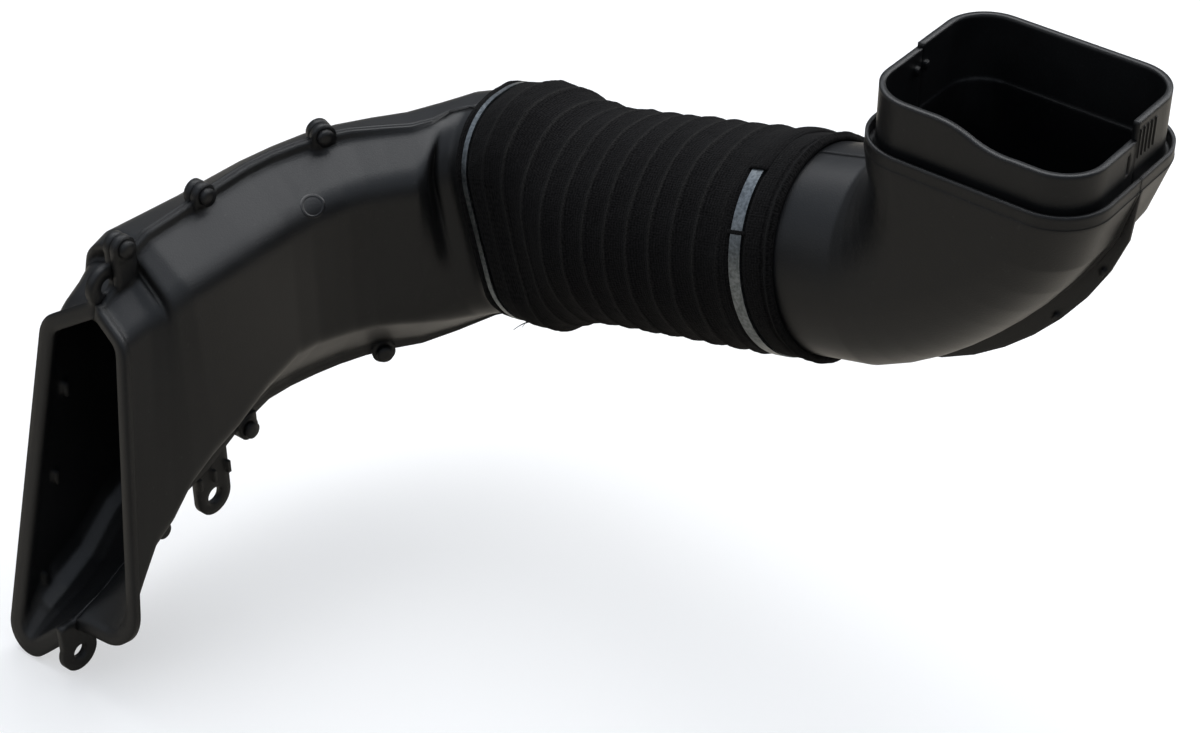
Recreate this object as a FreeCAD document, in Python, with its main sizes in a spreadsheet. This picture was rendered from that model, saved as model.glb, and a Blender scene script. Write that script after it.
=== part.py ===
"""Air intake hose: two moulded ducts joined by a wire-reinforced textile hose.

Millimetres. The origin is the centre of the outlet collar in its shoulder plane. Z runs up the collar,
X along the collar's long side away from the hose, and the hose lies in the XZ plane.
"""
import FreeCAD
import Part
import math
import os
from FreeCAD import Placement, Rotation, Vector

doc = FreeCAD.newDocument("AirIntakeHose")
sheet = doc.addObject("Spreadsheet::Sheet", "Sizes")

SIZES = (
    ("wall", 2.2, "thickness of the moulded walls"),
    ("seam_gap", 0.1, "half of the gap between two shells at their seam"),
    ("ear_gap", 0.5, "gap between the seam and the front ears"),
    ("fit_gap", 0.3, "clearance between nested curved faces"),
    ("collar_long", 85, "outlet collar along X, outside"),
    ("collar_short", 72, "outlet collar along Y, outside"),
    ("collar_radius", 17, "corner radius of the outlet collar"),
    ("collar_rise", 23, "height of the collar rim over the shoulder"),
    ("collar_dip", 7, "depth of the scallop in the front rim"),
    ("groove_width", 2.2, "gap between the collar and the shoulder lip"),
    ("groove_depth", 5.0, "depth of the gap under the lip's edge"),
    ("lip_wall", 1.5, "thickness of the shoulder lip"),
    ("lip_rise", 2.5, "height of the lip's edge over the shoulder"),
    ("elbow_reach", 84, "collar axis to the elbow-end band, along X"),
    ("elbow_drop", 77.5, "shoulder to the centre of the elbow-end band"),
    ("elbow_bend", 62, "bend radius of the elbow's centre line"),
    ("elbow_bore", 39.5, "outside radius of the elbow's round spigot"),
    ("elbow_rib", 8.5, "height of the seam rib on the outer bend"),
    ("elbow_flat", 11.0, "flattening of the elbow's outer bend"),
    ("elbow_ridge", 1.2, "height of the seam ridge on the inner bend"),
    ("hose_tilt", 15, "rise of the hose towards the elbow, degrees"),
    ("hose_span", 137, "distance between the two bands"),
    ("sleeve_wall", 1.4, "thickness of the sleeve"),
    ("cuff_length", 15.5, "sleeve beyond the elbow-end band"),
    ("hem_length", 5.5, "sleeve beyond the scoop-end band"),
    ("spigot_length", 24, "round spigot beyond its band, inside the hose"),
    ("oval_reach", 14, "oval spigot beyond its band, inside the hose"),
    ("oval_turn", 30, "length in which the sleeve turns from oval to round"),
    ("band_width", 5, "width of the clamping strap at the elbow"),
    ("thin_band", 2.4, "width of the clamping strap at the scoop"),
    ("band_wall", 0.9, "thickness of the clamping straps"),
    ("oval_tall", 94, "height of the scoop's oval spigot, outside"),
    ("oval_wide", 60, "width of the scoop's oval spigot, outside"),
    ("oval_radius", 28, "corner radius of the oval spigot"),
    ("oval_seam", 9.5, "scoop seam in front of the spigot's axis"),
    ("scoop_back", 277, "collar axis to the scoop's seam plane, along X"),
    ("scoop_bend", 98, "plan radius of the scoop's seam"),
    ("scoop_turn", 43, "plan angle from the seam plane to the bend section"),
    ("bend_top", 75, "bend section: shoulder to the seam's top"),
    ("bend_bottom", 179, "bend section: shoulder to the seam's foot"),
    ("bend_front", 22, "bend section: seam to the front wall"),
    ("bend_rear", 25, "bend section: seam to the rear wall"),
    ("bend_front_drop", 13, "bend section: seam top to the front wall's upper edge"),
    ("bend_front_lift", 25, "bend section: seam foot to the front wall's lower edge"),
    ("bend_rear_drop", 4, "bend section: seam top to the rear wall's upper edge"),
    ("bend_rear_lift", 0, "bend section: seam foot to the rear wall's lower edge"),
    ("middle_top", 73, "middle section: shoulder to the seam's top"),
    ("middle_bottom", 179, "middle section: shoulder to the seam's foot"),
    ("middle_front", 23, "middle section: seam to the front wall"),
    ("middle_rear", 23, "middle section: seam to the rear wall"),
    ("middle_front_drop", 16, "middle section: seam top to the front wall's upper edge"),
    ("middle_front_lift", 31, "middle section: seam foot to the front wall's lower edge"),
    ("middle_rear_drop", 10, "middle section: seam top to the rear wall's upper edge"),
    ("middle_rear_lift", -3, "middle section: seam foot to the rear wall's lower edge"),
    ("throat_way", 52, "middle section to throat section, along Y"),
    ("throat_top", 75, "throat section: shoulder to the seam's top"),
    ("throat_bottom", 197, "throat section: shoulder to the seam's foot"),
    ("throat_front", 25, "throat section: seam to the front wall"),
    ("throat_rear", 30, "throat section: seam to the rear wall"),
    ("throat_front_drop", 16, "throat section: seam top to the front wall's upper edge"),
    ("throat_front_lift", 32, "throat section: seam foot to the front wall's lower edge"),
    ("throat_rear_drop", 6, "throat section: seam top to the rear wall's upper edge"),
    ("throat_rear_lift", -10, "throat section: seam foot to the rear wall's lower edge"),
    ("mouth_way", 81, "middle section to the mouth's upper edge, along Y"),
    ("mouth_top", 93, "mouth: shoulder to the upper edge"),
    ("mouth_bottom", 226, "mouth: shoulder to the notch at the foot"),
    ("mouth_lean", 13, "lean of the mouth plane, degrees"),
    ("mouth_front_top", 14, "mouth: seam to the front wall, above"),
    ("mouth_front_foot", 31, "mouth: seam to the front wall, below"),
    ("mouth_rear_top", 24, "mouth: seam to the rear wall, above"),
    ("mouth_rear_foot", 34, "mouth: seam to the rear wall, below"),
    ("mouth_front_drop", 9, "mouth: upper edge to the front wall's upper edge"),
    ("mouth_rear_drop", 16, "mouth: upper edge to the rear wall's upper edge"),
    ("mouth_lobe", 34, "depth of the rear lobe below the notch"),
    ("mouth_flare", 15, "depth of the flare behind the mouth"),
    ("flare_front_drop", 12, "flare: seam top to the front wall's upper edge"),
    ("flare_rear_drop", 8, "flare: seam top to the rear wall's upper edge"),
    ("rim_rear", 4.5, "width of the rim round the rear half of the mouth"),
    ("rim_front", 2.4, "width of the rim round the front half of the mouth"),
    ("rim_depth", 3.0, "depth of the mouth rim"),
    ("flange_rise", 3.0, "height of the seam flange"),
    ("flange_wall", 1.6, "thickness of the seam flange on each shell"),
    ("ear_radius", 5.0, "radius of an ear"),
    ("top_ear_far", 65.6, "middle section to the top ear near the mouth, along Y"),
    ("top_ear_near", 24, "middle section to the next top ear, along Y"),
    ("top_ear_turn", 21.5, "plan angle of the top ear on the bend"),
    ("foot_ear_far", 66.5, "middle section to the foot ear near the mouth, along Y"),
    ("foot_ear_near", 14, "middle section to the next foot ear, along Y"),
    ("foot_ear_turn", 33, "plan angle of the foot ear on the bend"),
    ("ear_wall", 3.0, "thickness of an ear"),
    ("root_wall", 2.5, "thickness of an ear's root"),
    ("peg_radius", 2.3, "radius of a peg"),
    ("peg_head", 3.5, "radius of a peg's head"),
    ("head_wall", 2.2, "thickness of a peg's head"),
    ("strap_width", 17.6, "width of the strap bracket"),
    ("strap_wall", 3.2, "thickness of the strap bracket"),
    ("strap_length", 28, "seam foot to the bracket's hole"),
    ("strap_hole", 3.9, "radius of the bracket's hole"),
    ("strap_way", 33, "middle section to the bracket, along Y"),
    ("tab_radius", 8.5, "radius of the two tabs"),
    ("tab_hole", 3.4, "radius of the tabs' holes"),
    ("nub_size", 3.6, "length of a nub across the rear wall, half of it proud"),
    ("nub_tall", 6.0, "height of a nub behind the mouth"),
    ("nub_way", 10.0, "depth of the nubs behind the mouth"),
    ("hook_size", 3.0, "length of the small hooks on the elbow's rib and collar"),
    ("slot_tall", 7.5, "height of the slot in the collar's side"),
    ("slot_wide", 1.7, "width of the slot in the collar's side"),
    ("grip_tall", 11.0, "height of the fine grip lines on the collar's side"),
    ("grip_step", 2.6, "distance between two grip lines"),
    ("grip_wall", 0.6, "width of a grip line"),
)
for row, (alias, value, note) in enumerate(SIZES, start=1):
    sheet.set("A%d" % row, note)
    sheet.set("B%d" % row, str(value))
    sheet.setAlias("B%d" % row, alias)
doc.recompute()


def size(alias):
    """Return one named size from the sheet."""
    return float(sheet.get(alias))


def flat(angle):
    """Return the level direction at an angle from X, in degrees."""
    return Vector(math.cos(math.radians(angle)), math.sin(math.radians(angle)), 0)


UP = Vector(0, 0, 1)
TILT = math.radians(size("hose_tilt"))
HOSE_WAY = Vector(math.cos(TILT), 0, math.sin(TILT))
HOSE_UP = Vector(-math.sin(TILT), 0, math.cos(TILT))
ELBOW_BAND = Vector(-size("elbow_reach"), 0, -size("elbow_drop"))
SCOOP_BAND = ELBOW_BAND - HOSE_WAY * size("hose_span")
RING_START = SCOOP_BAND - HOSE_WAY * (size("hem_length") + 2)


class Frame:
    """A section plane: its origin, the outward direction of a half and the upward direction."""

    def __init__(self, origin, out, up):
        self.origin = origin
        self.out = out
        self.up = up

    def point(self, across, height):
        """Return the point at a distance across and a height in this plane."""
        return self.origin + self.out * across + self.up * height


class Half:
    """Half of a duct's section: seam top and foot, two wall corners, their radii and the seam flanges."""

    def __init__(self, top, foot, upper, lower, radii, flanges, flange_wall):
        self.top = top
        self.foot = foot
        self.upper = upper
        self.lower = lower
        self.radii = radii
        self.flanges = flanges
        self.flange_wall = flange_wall


def line_offset(first, second, inset):
    """Return two points of a line moved sideways by an inset to its right."""
    run = second - first
    side = Vector(-run.y, run.x, 0).normalize() * -inset
    return first + side, second + side


def crossing(first, second, third, fourth):
    """Return the crossing of two lines given by two points each."""
    run = second - first
    other = fourth - third
    bottom = run.x * other.y - run.y * other.x
    share = ((third.x - first.x) * other.y - (third.y - first.y) * other.x) / bottom
    return first + run * share


def level_at(first, second, across):
    """Return the height of a line at a distance across."""
    return first.y + (second.y - first.y) * (across - first.x) / (second.x - first.x)


def rounded(points, radii):
    """Return the lines and arcs of an open outline whose inner corners are rounded, in flat coordinates."""
    pieces = []
    start = points[0]
    last = len(points) - 2
    for index in range(1, last + 1):
        before = points[index - 1] - points[index]
        after = points[index + 1] - points[index]
        room = min(before.Length * (1.0 if index == 1 else 0.5),
                   after.Length * (1.0 if index == last else 0.5))
        half = before.getAngle(after) / 2
        radius = min(radii[index - 1], 0.99 * room * math.tan(half))
        cut = radius / math.tan(half)
        before.normalize()
        after.normalize()
        entry = points[index] + before * cut
        leave = points[index] + after * cut
        inward = (before + after).normalize()
        middle = points[index] + inward * (radius / math.sin(half) - radius)
        pieces.append(("line", start, entry))
        pieces.append(("arc", entry, middle, leave))
        start = leave
    pieces.append(("line", start, points[-1]))
    return pieces


def chorded(pieces, chords):
    """Return an outline whose arcs are replaced by a number of straight chords each."""
    straight = []
    for piece in pieces:
        if piece[0] == "line":
            straight.append(piece)
            continue
        spots = Part.Arc(*piece[1:]).toShape().discretize(Number=chords + 1)
        straight += [("line", first, second) for first, second in zip(spots, spots[1:])]
    return straight


def half_wire(frame, half, grow=0.0, wall=None, chords=0):
    """Return the closed C-shaped outline of one shell's wall, its hidden inner corners chorded if asked."""
    gap = size("seam_gap")
    wall = size("wall") if wall is None else wall
    lip = gap + half.flange_wall
    corners = [Vector(0, half.top, 0), Vector(*half.upper, 0),
               Vector(*half.lower, 0), Vector(0, half.foot, 0)]

    def offset(inset):
        """Return the outline's corners moved inwards, cut at the seam."""
        lines = [line_offset(corners[i], corners[i + 1], inset) for i in range(3)]
        return [lines[0][0], crossing(*lines[0], *lines[1]), crossing(*lines[1], *lines[2]), lines[2][1]]

    outer = offset(-grow)
    inner = offset(wall)
    outer[0] = Vector(lip, level_at(outer[0], outer[1], lip), 0)
    outer[3] = Vector(lip, level_at(outer[3], outer[2], lip), 0)
    inner[0] = Vector(gap, level_at(inner[0], inner[1], gap), 0)
    inner[3] = Vector(gap, level_at(inner[3], inner[2], gap), 0)
    rise, drop = half.flanges
    head = half.top + grow + rise
    base = half.foot - grow - drop
    inner_radii = [max(radius - wall, 0.6) for radius in half.radii]
    outer_radii = [radius + grow for radius in half.radii]
    pieces = [("line", Vector(gap, head, 0), Vector(lip, head, 0)), ("line", Vector(lip, head, 0), outer[0])]
    pieces += rounded(outer, outer_radii)
    pieces += [("line", outer[3], Vector(lip, base, 0)), ("line", Vector(lip, base, 0), Vector(gap, base, 0))]
    pieces += [("line", Vector(gap, base, 0), inner[3])]
    inside = rounded(inner[::-1], inner_radii[::-1])
    pieces += chorded(inside, chords) if chords else inside
    pieces += [("line", inner[0], Vector(gap, head, 0))]
    edges = []
    for kind, *ends in pieces:
        placed = [frame.point(end.x, end.y) for end in ends]
        if kind == "line":
            edges.append(Part.LineSegment(*placed).toShape())
        else:
            edges.append(Part.Arc(*placed).toShape())
    return Part.Wire(edges)


def add_wire(name, wire):
    """Add a section outline to the document."""
    section = doc.addObject("Part::Feature", name)
    section.Shape = wire
    return section


def add_loft(name, wires):
    """Add a solid loft through outlines."""
    loft = doc.addObject("Part::Loft", name)
    loft.Sections = [add_wire("%s_section_%d" % (name, i), wire) for i, wire in enumerate(wires, start=1)]
    loft.Solid = True
    loft.Ruled = True
    return loft


def add_prism(name, wire, way, length):
    """Add a solid extrusion of an outline whose length follows a sheet expression."""
    prism = doc.addObject("Part::Extrusion", name)
    prism.Base = add_wire(name + "_outline", wire)
    prism.DirMode = "Custom"
    prism.Dir = way
    prism.Solid = True
    prism.setExpression("LengthFwd", length)
    return prism


def add_disc(name, radius, depth, base, way):
    """Add a cylinder whose radius and depth follow sheet expressions."""
    disc = doc.addObject("Part::Cylinder", name)
    disc.setExpression("Radius", radius)
    disc.setExpression("Height", depth)
    disc.Placement = Placement(base, Rotation(UP, way))
    return disc


def add_block(name, length, width, height, base, along):
    """Add a box whose sides follow sheet expressions, its length running along a level direction."""
    block = doc.addObject("Part::Box", name)
    block.setExpression("Length", length)
    block.setExpression("Width", width)
    block.setExpression("Height", height)
    block.Placement = Placement(base, Rotation(Vector(1, 0, 0), along))
    return block


def join(name, pieces):
    """Add the union of small pieces."""
    if len(pieces) == 1:
        return pieces[0]
    union = doc.addObject("Part::MultiFuse", name)
    union.Shapes = pieces
    union.Refine = False
    return union


def attach(name, walls, extras):
    """Add the union of a shell's walls, one after the other, and of what stands on them."""
    union = walls[0]
    for number, piece in enumerate(walls[1:] + [join(name + "_extras", extras)], start=1):
        step = doc.addObject("Part::Fuse", "%s_%d" % (name, number))
        step.Base = union
        step.Tool = piece
        step.Refine = False
        union = step
    return union


def trim(name, base, tools):
    """Add a base with every tool cut from it."""
    tool = tools[0]
    if len(tools) > 1:
        tool = join(name + "_tools", tools)
    cut = doc.addObject("Part::Cut", name)
    cut.Base = base
    cut.Tool = tool
    cut.Refine = False
    return cut


def smooth_between(ways, values, way):
    """Return a value at a way along a path, on a curve through given values that never overshoots."""
    slopes = [(b - a) / (t - s) for a, b, s, t in zip(values, values[1:], ways, ways[1:])]
    turns = [slopes[0]]
    for before, after in zip(slopes, slopes[1:]):
        turns.append(0.0 if before * after <= 0 else 2 * before * after / (before + after))
    turns.append(slopes[-1])
    index = max(i for i in range(len(ways) - 1) if i == 0 or ways[i] <= way)
    run = ways[index + 1] - ways[index]
    t = (way - ways[index]) / run
    low = values[index] * (1 + 2 * t) * (1 - t) ** 2 + turns[index] * run * t * (1 - t) ** 2
    return low + values[index + 1] * t * t * (3 - 2 * t) + turns[index + 1] * run * t * t * (t - 1)


def scoop_keys(side):
    """Return the scoop's main sections from the spigot to the mouth for the front (1) or rear (-1) half.

    Each is a row: origin, turn of the outward direction, lean, seam top and foot, the upper and the lower
    wall corner, two radii, two flange heights and the flange thickness.
    """
    name = "front" if side > 0 else "rear"
    back, bend, turn = -size("scoop_back"), size("scoop_bend"), size("scoop_turn")
    centre = Vector(back + bend, -bend, 0)
    start = RING_START - Vector(0, size("oval_seam"), 0)
    tall = size("oval_tall") / 2 - 1.2
    depth = size("oval_wide") / 2 - size("oval_seam") * side
    slope = 6.0 if side > 0 else -1.0
    radius = size("oval_radius")
    rows = []
    for shift, lift in ((4.0 if side > 0 else -0.2, 0.2), (-3.0, 0.3)):
        origin = start + HOSE_WAY * shift
        rows.append([*origin, -90, size("hose_tilt"), tall, -tall, depth, tall - slope, depth, slope - tall,
                     radius, radius, lift, lift, 0.3])
    rise = size("flange_rise")
    places = (("bend", turn, 0), ("half", turn / 2, 0), ("middle", 0, 0), ("throat", 0, size("throat_way")))
    for place, angle, way in places:
        values = {}
        for key in ("top", "bottom", name, name + "_drop", name + "_lift"):
            if place == "half":
                values[key] = (size("bend_" + key) + size("middle_" + key)) / 2
            else:
                values[key] = size(place + "_" + key)
        origin = centre + flat(180 - angle) * bend + Vector(0, -way, -size("elbow_drop") * 1.55)
        top, foot = -values["top"] - origin.z, -values["bottom"] - origin.z
        wall, drop, lift = values[name], values[name + "_drop"], values[name + "_lift"]
        near = 3 if place == "throat" else 0
        rows.append([*origin, -angle, 0, top, foot, wall - near, top - drop, wall, foot + lift, 14, 11,
                     1.2 if place == "bend" else rise, 1.0 if place == "bend" else rise, size("flange_wall")])
    lean = math.radians(size("mouth_lean"))
    up = Vector(0, math.sin(lean), math.cos(lean))
    tall = (size("mouth_bottom") - size("mouth_top")) / math.cos(lean) / 2
    mouth = Vector(back, -bend - size("mouth_way"), -size("mouth_top")) - up * tall
    near, far = size("mouth_%s_top" % name), size("mouth_%s_foot" % name)
    drop = size("mouth_%s_drop" % name)
    lift = 3 if side > 0 else -size("mouth_lobe")
    flare = 36 if side > 0 else -0.6 * size("mouth_lobe")
    inset = 4 if side > 0 else 1
    behind = mouth + Vector(0, size("mouth_flare"), 0)
    shoulder = tall + 6 - size("flare_%s_drop" % name)
    rows.append([*behind, 0, -size("mouth_lean"), tall + 6, 4 - tall, near + 1, shoulder, far - inset,
                 4 - tall + flare, 10, 12, rise, rise, size("flange_wall")])
    rows.append([*mouth, 0, -size("mouth_lean"), tall, -tall, near, tall - drop, far, lift - tall, 9,
                 14 if side > 0 else 7, 0.4, 0.4, size("flange_wall")])
    return rows


def scoop_sections(side):
    """Return the scoop's section planes and half sections, with more between the main ones."""
    rows = scoop_keys(side)
    ways = [0.0]
    for before, after in zip(rows, rows[1:]):
        ways.append(ways[-1] + (Vector(*after[:3]) - Vector(*before[:3])).Length)
    stops = list(ways)
    for before, after in list(zip(ways, ways[1:]))[1:]:
        count = 2 if after - before > size("mouth_flare") * 1.5 else 1
        stops += [before + (after - before) * (step + 1) / (count + 1) for step in range(count)]
    sections = []
    for stop in sorted(stops):
        row = [smooth_between(ways, column, stop) for column in zip(*rows)]
        turn, lean = row[3], math.radians(row[4])
        up = UP * math.cos(lean) + flat(turn - 90) * math.sin(lean)
        half = Half(row[5], row[6], tuple(row[7:9]), tuple(row[9:11]),
                    tuple(row[11:13]), tuple(row[13:15]), row[15])
        sections.append((Frame(Vector(*row[:3]), flat(turn) * side, up), half))
    return sections


def scoop_skin(name, side):
    """Add one scoop half: a lofted wall with its seam flanges and the rim round the mouth."""
    sections = scoop_sections(side)
    loft = add_loft(name + "_wall", [half_wire(*section, chords=3) for section in sections])
    frame, half = sections[-1]
    rim = half_wire(frame, half, grow=size("rim_front") if side > 0 else size("rim_rear"))
    back = frame.up.cross(Vector(1, 0, 0))
    return [loft, add_prism(name + "_rim", rim, back, "Sizes.rim_depth")]


def ear_places():
    """Return the ears: their names, the seam point each stands on, the seam's direction and up or down."""
    back = -size("scoop_back")
    bend = size("scoop_bend")
    centre = Vector(back + bend, -bend, 0)
    lift = size("flange_rise")
    places = []
    for number, way in enumerate((size("top_ear_far"), size("top_ear_near")), start=1):
        top = -(size("middle_top") + (size("throat_top") - size("middle_top")) * way / size("throat_way"))
        places.append(("top_%d" % number, Vector(back, -bend - way, top + lift), Vector(0, 1, 0), 1))
    for number, way in enumerate((size("foot_ear_far"), size("foot_ear_near")), start=1):
        share = way / size("throat_way")
        foot = -(size("middle_bottom") + (size("throat_bottom") - size("middle_bottom")) * share)
        places.append(("foot_%d" % number, Vector(back, -bend - way, foot - lift), Vector(0, 1, 0), -1))
    for name, end, way in (("top", "_top", 1), ("foot", "_bottom", -1)):
        turn = size(name + "_ear_turn")
        share = turn / size("scoop_turn")
        level = size("middle" + end) + (size("bend" + end) - size("middle" + end)) * share
        rise = lift if way > 0 else 0.5
        seat = centre + flat(180 - turn) * bend + UP * (rise * way - level)
        places.append((name + "_3", seat, flat(90 - turn), way))
    return places


def seam_level(spot, way):
    """Return the height of the seam's top (1) or foot (-1) nearest to a place seen from above."""
    line = [frame.point(0, half.top if way > 0 else half.foot) for frame, half in scoop_sections(1)]
    found = []
    for first, second in zip(line, line[1:]):
        run = Vector(second.x - first.x, second.y - first.y, 0)
        share = ((spot.x - first.x) * run.x + (spot.y - first.y) * run.y) / run.Length ** 2
        point = first + (second - first) * min(1.0, max(0.0, share))
        found.append((math.hypot(point.x - spot.x, point.y - spot.y), point.z))
    return min(found)[1]


def add_ear(name, seat, along, way, side):
    """Add one ear: a disc with a block that roots it in the seam."""
    out = Vector(along.y, -along.x, 0) * side
    base = seat + out * size("ear_gap" if side > 0 else "seam_gap")
    disc = add_disc(name + "_disc", "Sizes.ear_radius", "Sizes.ear_wall", base + UP * way, out)
    low, high = sorted((seat.z + way, seam_level(seat, way) - 0.8 * way))
    corner = base - along * size("ear_radius") * side + out * size("root_wall")
    corner.z = low
    block = add_block(name + "_root", "2 * Sizes.ear_radius", "Sizes.root_wall", "%.3f" % (high - low),
                      corner, along * side)
    return [disc, block]


def add_peg(name, seat, along, way):
    """Add one peg with its head, standing on a rear ear."""
    out = Vector(along.y, -along.x, 0)
    root = seat + UP * way - out * 1.0
    head = seat + UP * way + out * (size("ear_gap") + size("ear_wall") + 0.15)
    return [add_disc(name + "_peg", "Sizes.peg_radius", "Sizes.ear_wall + 2.7", root, out),
            add_disc(name + "_head", "Sizes.peg_head", "Sizes.head_wall", head, out)]


def ring_wire(centre, tall, wide, radius):
    """Return a rounded outline in a plane square to the hose."""
    radius = min(radius, wide / 2 - 0.3, tall / 2 - 0.3)
    frame = Frame(centre, Vector(0, -1, 0), HOSE_UP)
    edges = []
    flat_wide, flat_tall = wide / 2 - radius, tall / 2 - radius
    corners = ((flat_wide, flat_tall, 0), (-flat_wide, flat_tall, 90), (-flat_wide, -flat_tall, 180),
               (flat_wide, -flat_tall, 270))
    arcs = []
    for across, height, turn in corners:
        spots = [math.radians(turn + step) for step in (0, 45, 90)]
        arcs.append([frame.point(across + radius * math.cos(a), height + radius * math.sin(a))
                     for a in spots])
    for index, spots in enumerate(arcs):
        edges.append(Part.Arc(*spots).toShape())
        edges.append(Part.LineSegment(spots[2], arcs[(index + 1) % 4][0]).toShape())
    return Part.Wire(edges)


def scoop_front_shell():
    """Build the scoop's front half with its pierced ears and the oval spigot."""
    pieces = scoop_skin("scoop_front", 1)
    tall, wide, radius = size("oval_tall"), size("oval_wide"), size("oval_radius")
    length = "Sizes.hem_length + 2 + Sizes.oval_reach"
    outside = add_prism("spigot_outside", ring_wire(RING_START, tall, wide, radius), HOSE_WAY, length)
    thick = size("wall")
    inside_wire = ring_wire(RING_START - HOSE_WAY, tall - 2 * thick, wide - 2 * thick, radius - thick)
    inside = add_prism("spigot_inside", inside_wire, HOSE_WAY, length + " + 2")
    pieces.append(trim("oval_spigot", outside, [inside]))
    holes = []
    extras = []
    for name, seat, along, way in ear_places():
        extras += add_ear("front_" + name, seat, along, way, 1)
        out = Vector(along.y, -along.x, 0)
        holes.append(add_disc("hole_" + name, "Sizes.peg_radius + 0.2", "8", seat + UP * way - out, out))
    body = attach("scoop_front_body", pieces, extras)
    trim("scoop_front_shell", body, holes)


def scoop_rear_shell():
    """Build the scoop's rear half with its ears, pegs, tabs and strap bracket."""
    pieces = scoop_skin("scoop_rear", -1)
    extras = []
    for name, seat, along, way in ear_places():
        extras += add_ear("rear_" + name, seat, along, way, -1)
        extras += add_peg(name, seat, along, way)
    extras += add_nubs()
    holes = []
    for name, parts, hole in (add_strap(), add_tab("top"), add_tab("foot")):
        extras += parts
        holes.append(hole)
    body = attach("scoop_rear_body", pieces, extras)
    trim("scoop_rear_shell", body, holes)


def add_nubs():
    """Add the three locating nubs on the rear wall, just behind the mouth."""
    lean = math.tan(math.radians(size("mouth_lean")))
    near, far = size("mouth_rear_top"), size("mouth_rear_foot")
    span = size("mouth_bottom") + size("mouth_lobe") - size("mouth_top") - size("mouth_rear_drop")
    nubs = []
    for number, share in enumerate((0.22, 0.48, 0.79), start=1):
        fall = size("mouth_rear_drop") + span * share
        across = -size("scoop_back") - near - (far - near) * share + size("wall")
        way = -size("scoop_bend") - size("mouth_way") - fall * lean + size("nub_way")
        base = Vector(across - size("nub_size") / 2, way, -size("mouth_top") - fall)
        nubs.append(add_block("nub_%d" % number, "Sizes.nub_size", "2.0", "Sizes.nub_tall", base,
                              Vector(1, 0, 0)))
    return nubs


def add_strap():
    """Add the strap bracket: a round-ended plate with a centre rib and two edge ribs."""
    back = -size("scoop_back") - size("seam_gap")
    along = Vector(0, 1, 0)
    share = size("strap_way") / size("throat_way")
    foot = -(size("middle_bottom") + (size("throat_bottom") - size("middle_bottom")) * share)
    eye = Vector(back, -size("scoop_bend") - size("strap_way"), foot - size("strap_length") + 6)
    wide = size("strap_width")
    low = eye + Vector(0, -wide / 2, 0)
    plate = add_block("strap_plate", "Sizes.strap_width", "Sizes.strap_wall", "Sizes.strap_length",
                      low, along)
    end = add_disc("strap_end", "Sizes.strap_width / 2", "Sizes.strap_wall", eye, Vector(-1, 0, 0))
    parts = [plate, end]
    for name, spot in (("left", 0.0), ("middle", wide / 2 - 0.8), ("right", wide - 1.6)):
        base = low + Vector(1.6, spot, size("strap_hole") + 4)
        tall = "Sizes.strap_length - Sizes.strap_hole - 18.5"
        rib = add_block("strap_rib_" + name, "1.6", "2.2", tall, base, along)
        parts.append(rib)
    front = eye + Vector(4, 0, 0)
    hole = add_disc("strap_hole", "Sizes.strap_hole", "Sizes.strap_wall + 8", front, Vector(-1, 0, 0))
    return "strap", parts, hole


def add_tab(name):
    """Add the tab above or below the mouth with its root and hole."""
    back = -size("scoop_back") - size("seam_gap")
    lean = math.tan(math.radians(size("mouth_lean")))
    bend = size("scoop_bend")
    if name == "top":
        eye = Vector(back, -bend - size("mouth_way") + 8, -size("mouth_top") + 7)
        root = eye + Vector(0, -size("tab_radius") + 1, -12)
    else:
        fall = size("mouth_bottom") - size("mouth_top")
        eye = Vector(back, -bend - size("mouth_way") - fall * lean, -size("mouth_bottom") - 15)
        root = eye + Vector(0, -size("tab_radius") + 1, 0)
    disc = add_disc(name + "_tab", "Sizes.tab_radius", "Sizes.strap_wall", eye, Vector(-1, 0, 0))
    wide = "2 * Sizes.tab_radius - 2"
    block = add_block(name + "_tab_root", wide, "Sizes.strap_wall", "16", root, Vector(0, 1, 0))
    front = eye + Vector(2, 0, 0)
    hole = add_disc(name + "_tab_hole", "Sizes.tab_hole", "Sizes.strap_wall + 4", front, Vector(-1, 0, 0))
    return name, [disc, block], hole


def elbow_skin(name, side):
    """Add one elbow half: a round half tube for the hose and a lofted bend up to the shoulder."""
    tilt = size("hose_tilt")
    bend = size("elbow_bend")
    bore = size("elbow_bore")
    corner = size("elbow_drop") - size("elbow_reach") * math.tan(TILT)
    tangent = bend * math.tan(math.radians((90 - tilt) / 2))
    centre = Vector(-bend, 0, tangent - corner)
    out = Vector(0, side, 0)
    step_out = size("groove_width") + size("lip_wall")
    long_end = size("collar_long") / 2 + step_out
    short_end = size("collar_short") / 2 + step_out
    round_end = size("collar_radius") + step_out
    wires = []
    steps = 9
    for step in range(steps + 1):
        share = step / steps
        angle = math.radians(tilt + (90 - tilt) * share)
        radial = Vector(math.sin(angle), 0, -math.cos(angle))
        tall = bore + (long_end - bore) * share
        wide = bore + (short_end - bore) * share
        radius = (bore - 0.4) + (round_end - bore + 0.4) * share
        swell = math.sin(math.pi * share) ** 0.7
        rib = 0.2 + (size("elbow_rib") - 0.2) * swell * (1.0 if side > 0 else 0.15)
        ridge = 0.2 + (size("elbow_ridge") - 0.2) * math.sin(math.pi * share)
        outer = tall - size("elbow_flat") * math.sin(math.pi * share)
        half = Half(outer, -tall, (wide, outer), (wide, -tall), (radius, radius), (rib, ridge),
                    0.3 + (size("flange_wall") - 0.3) * min(1.0, 4 * share))
        thick = size("wall") + (step_out + 0.5) * share ** 3
        origin = centre + radial * bend
        if step == steps:
            origin.z = size("lip_rise") - size("groove_depth")
        wires.append(half_wire(Frame(origin, out, radial), half, wall=thick, chords=5))
    straight = size("elbow_reach") / math.cos(TILT) - tangent
    length = "%.4f + Sizes.spigot_length" % straight
    spigot = add_prism(name + "_spigot", wires[0], HOSE_WAY * -1, length)
    return [spigot, add_loft(name + "_wall", wires)]


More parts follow.
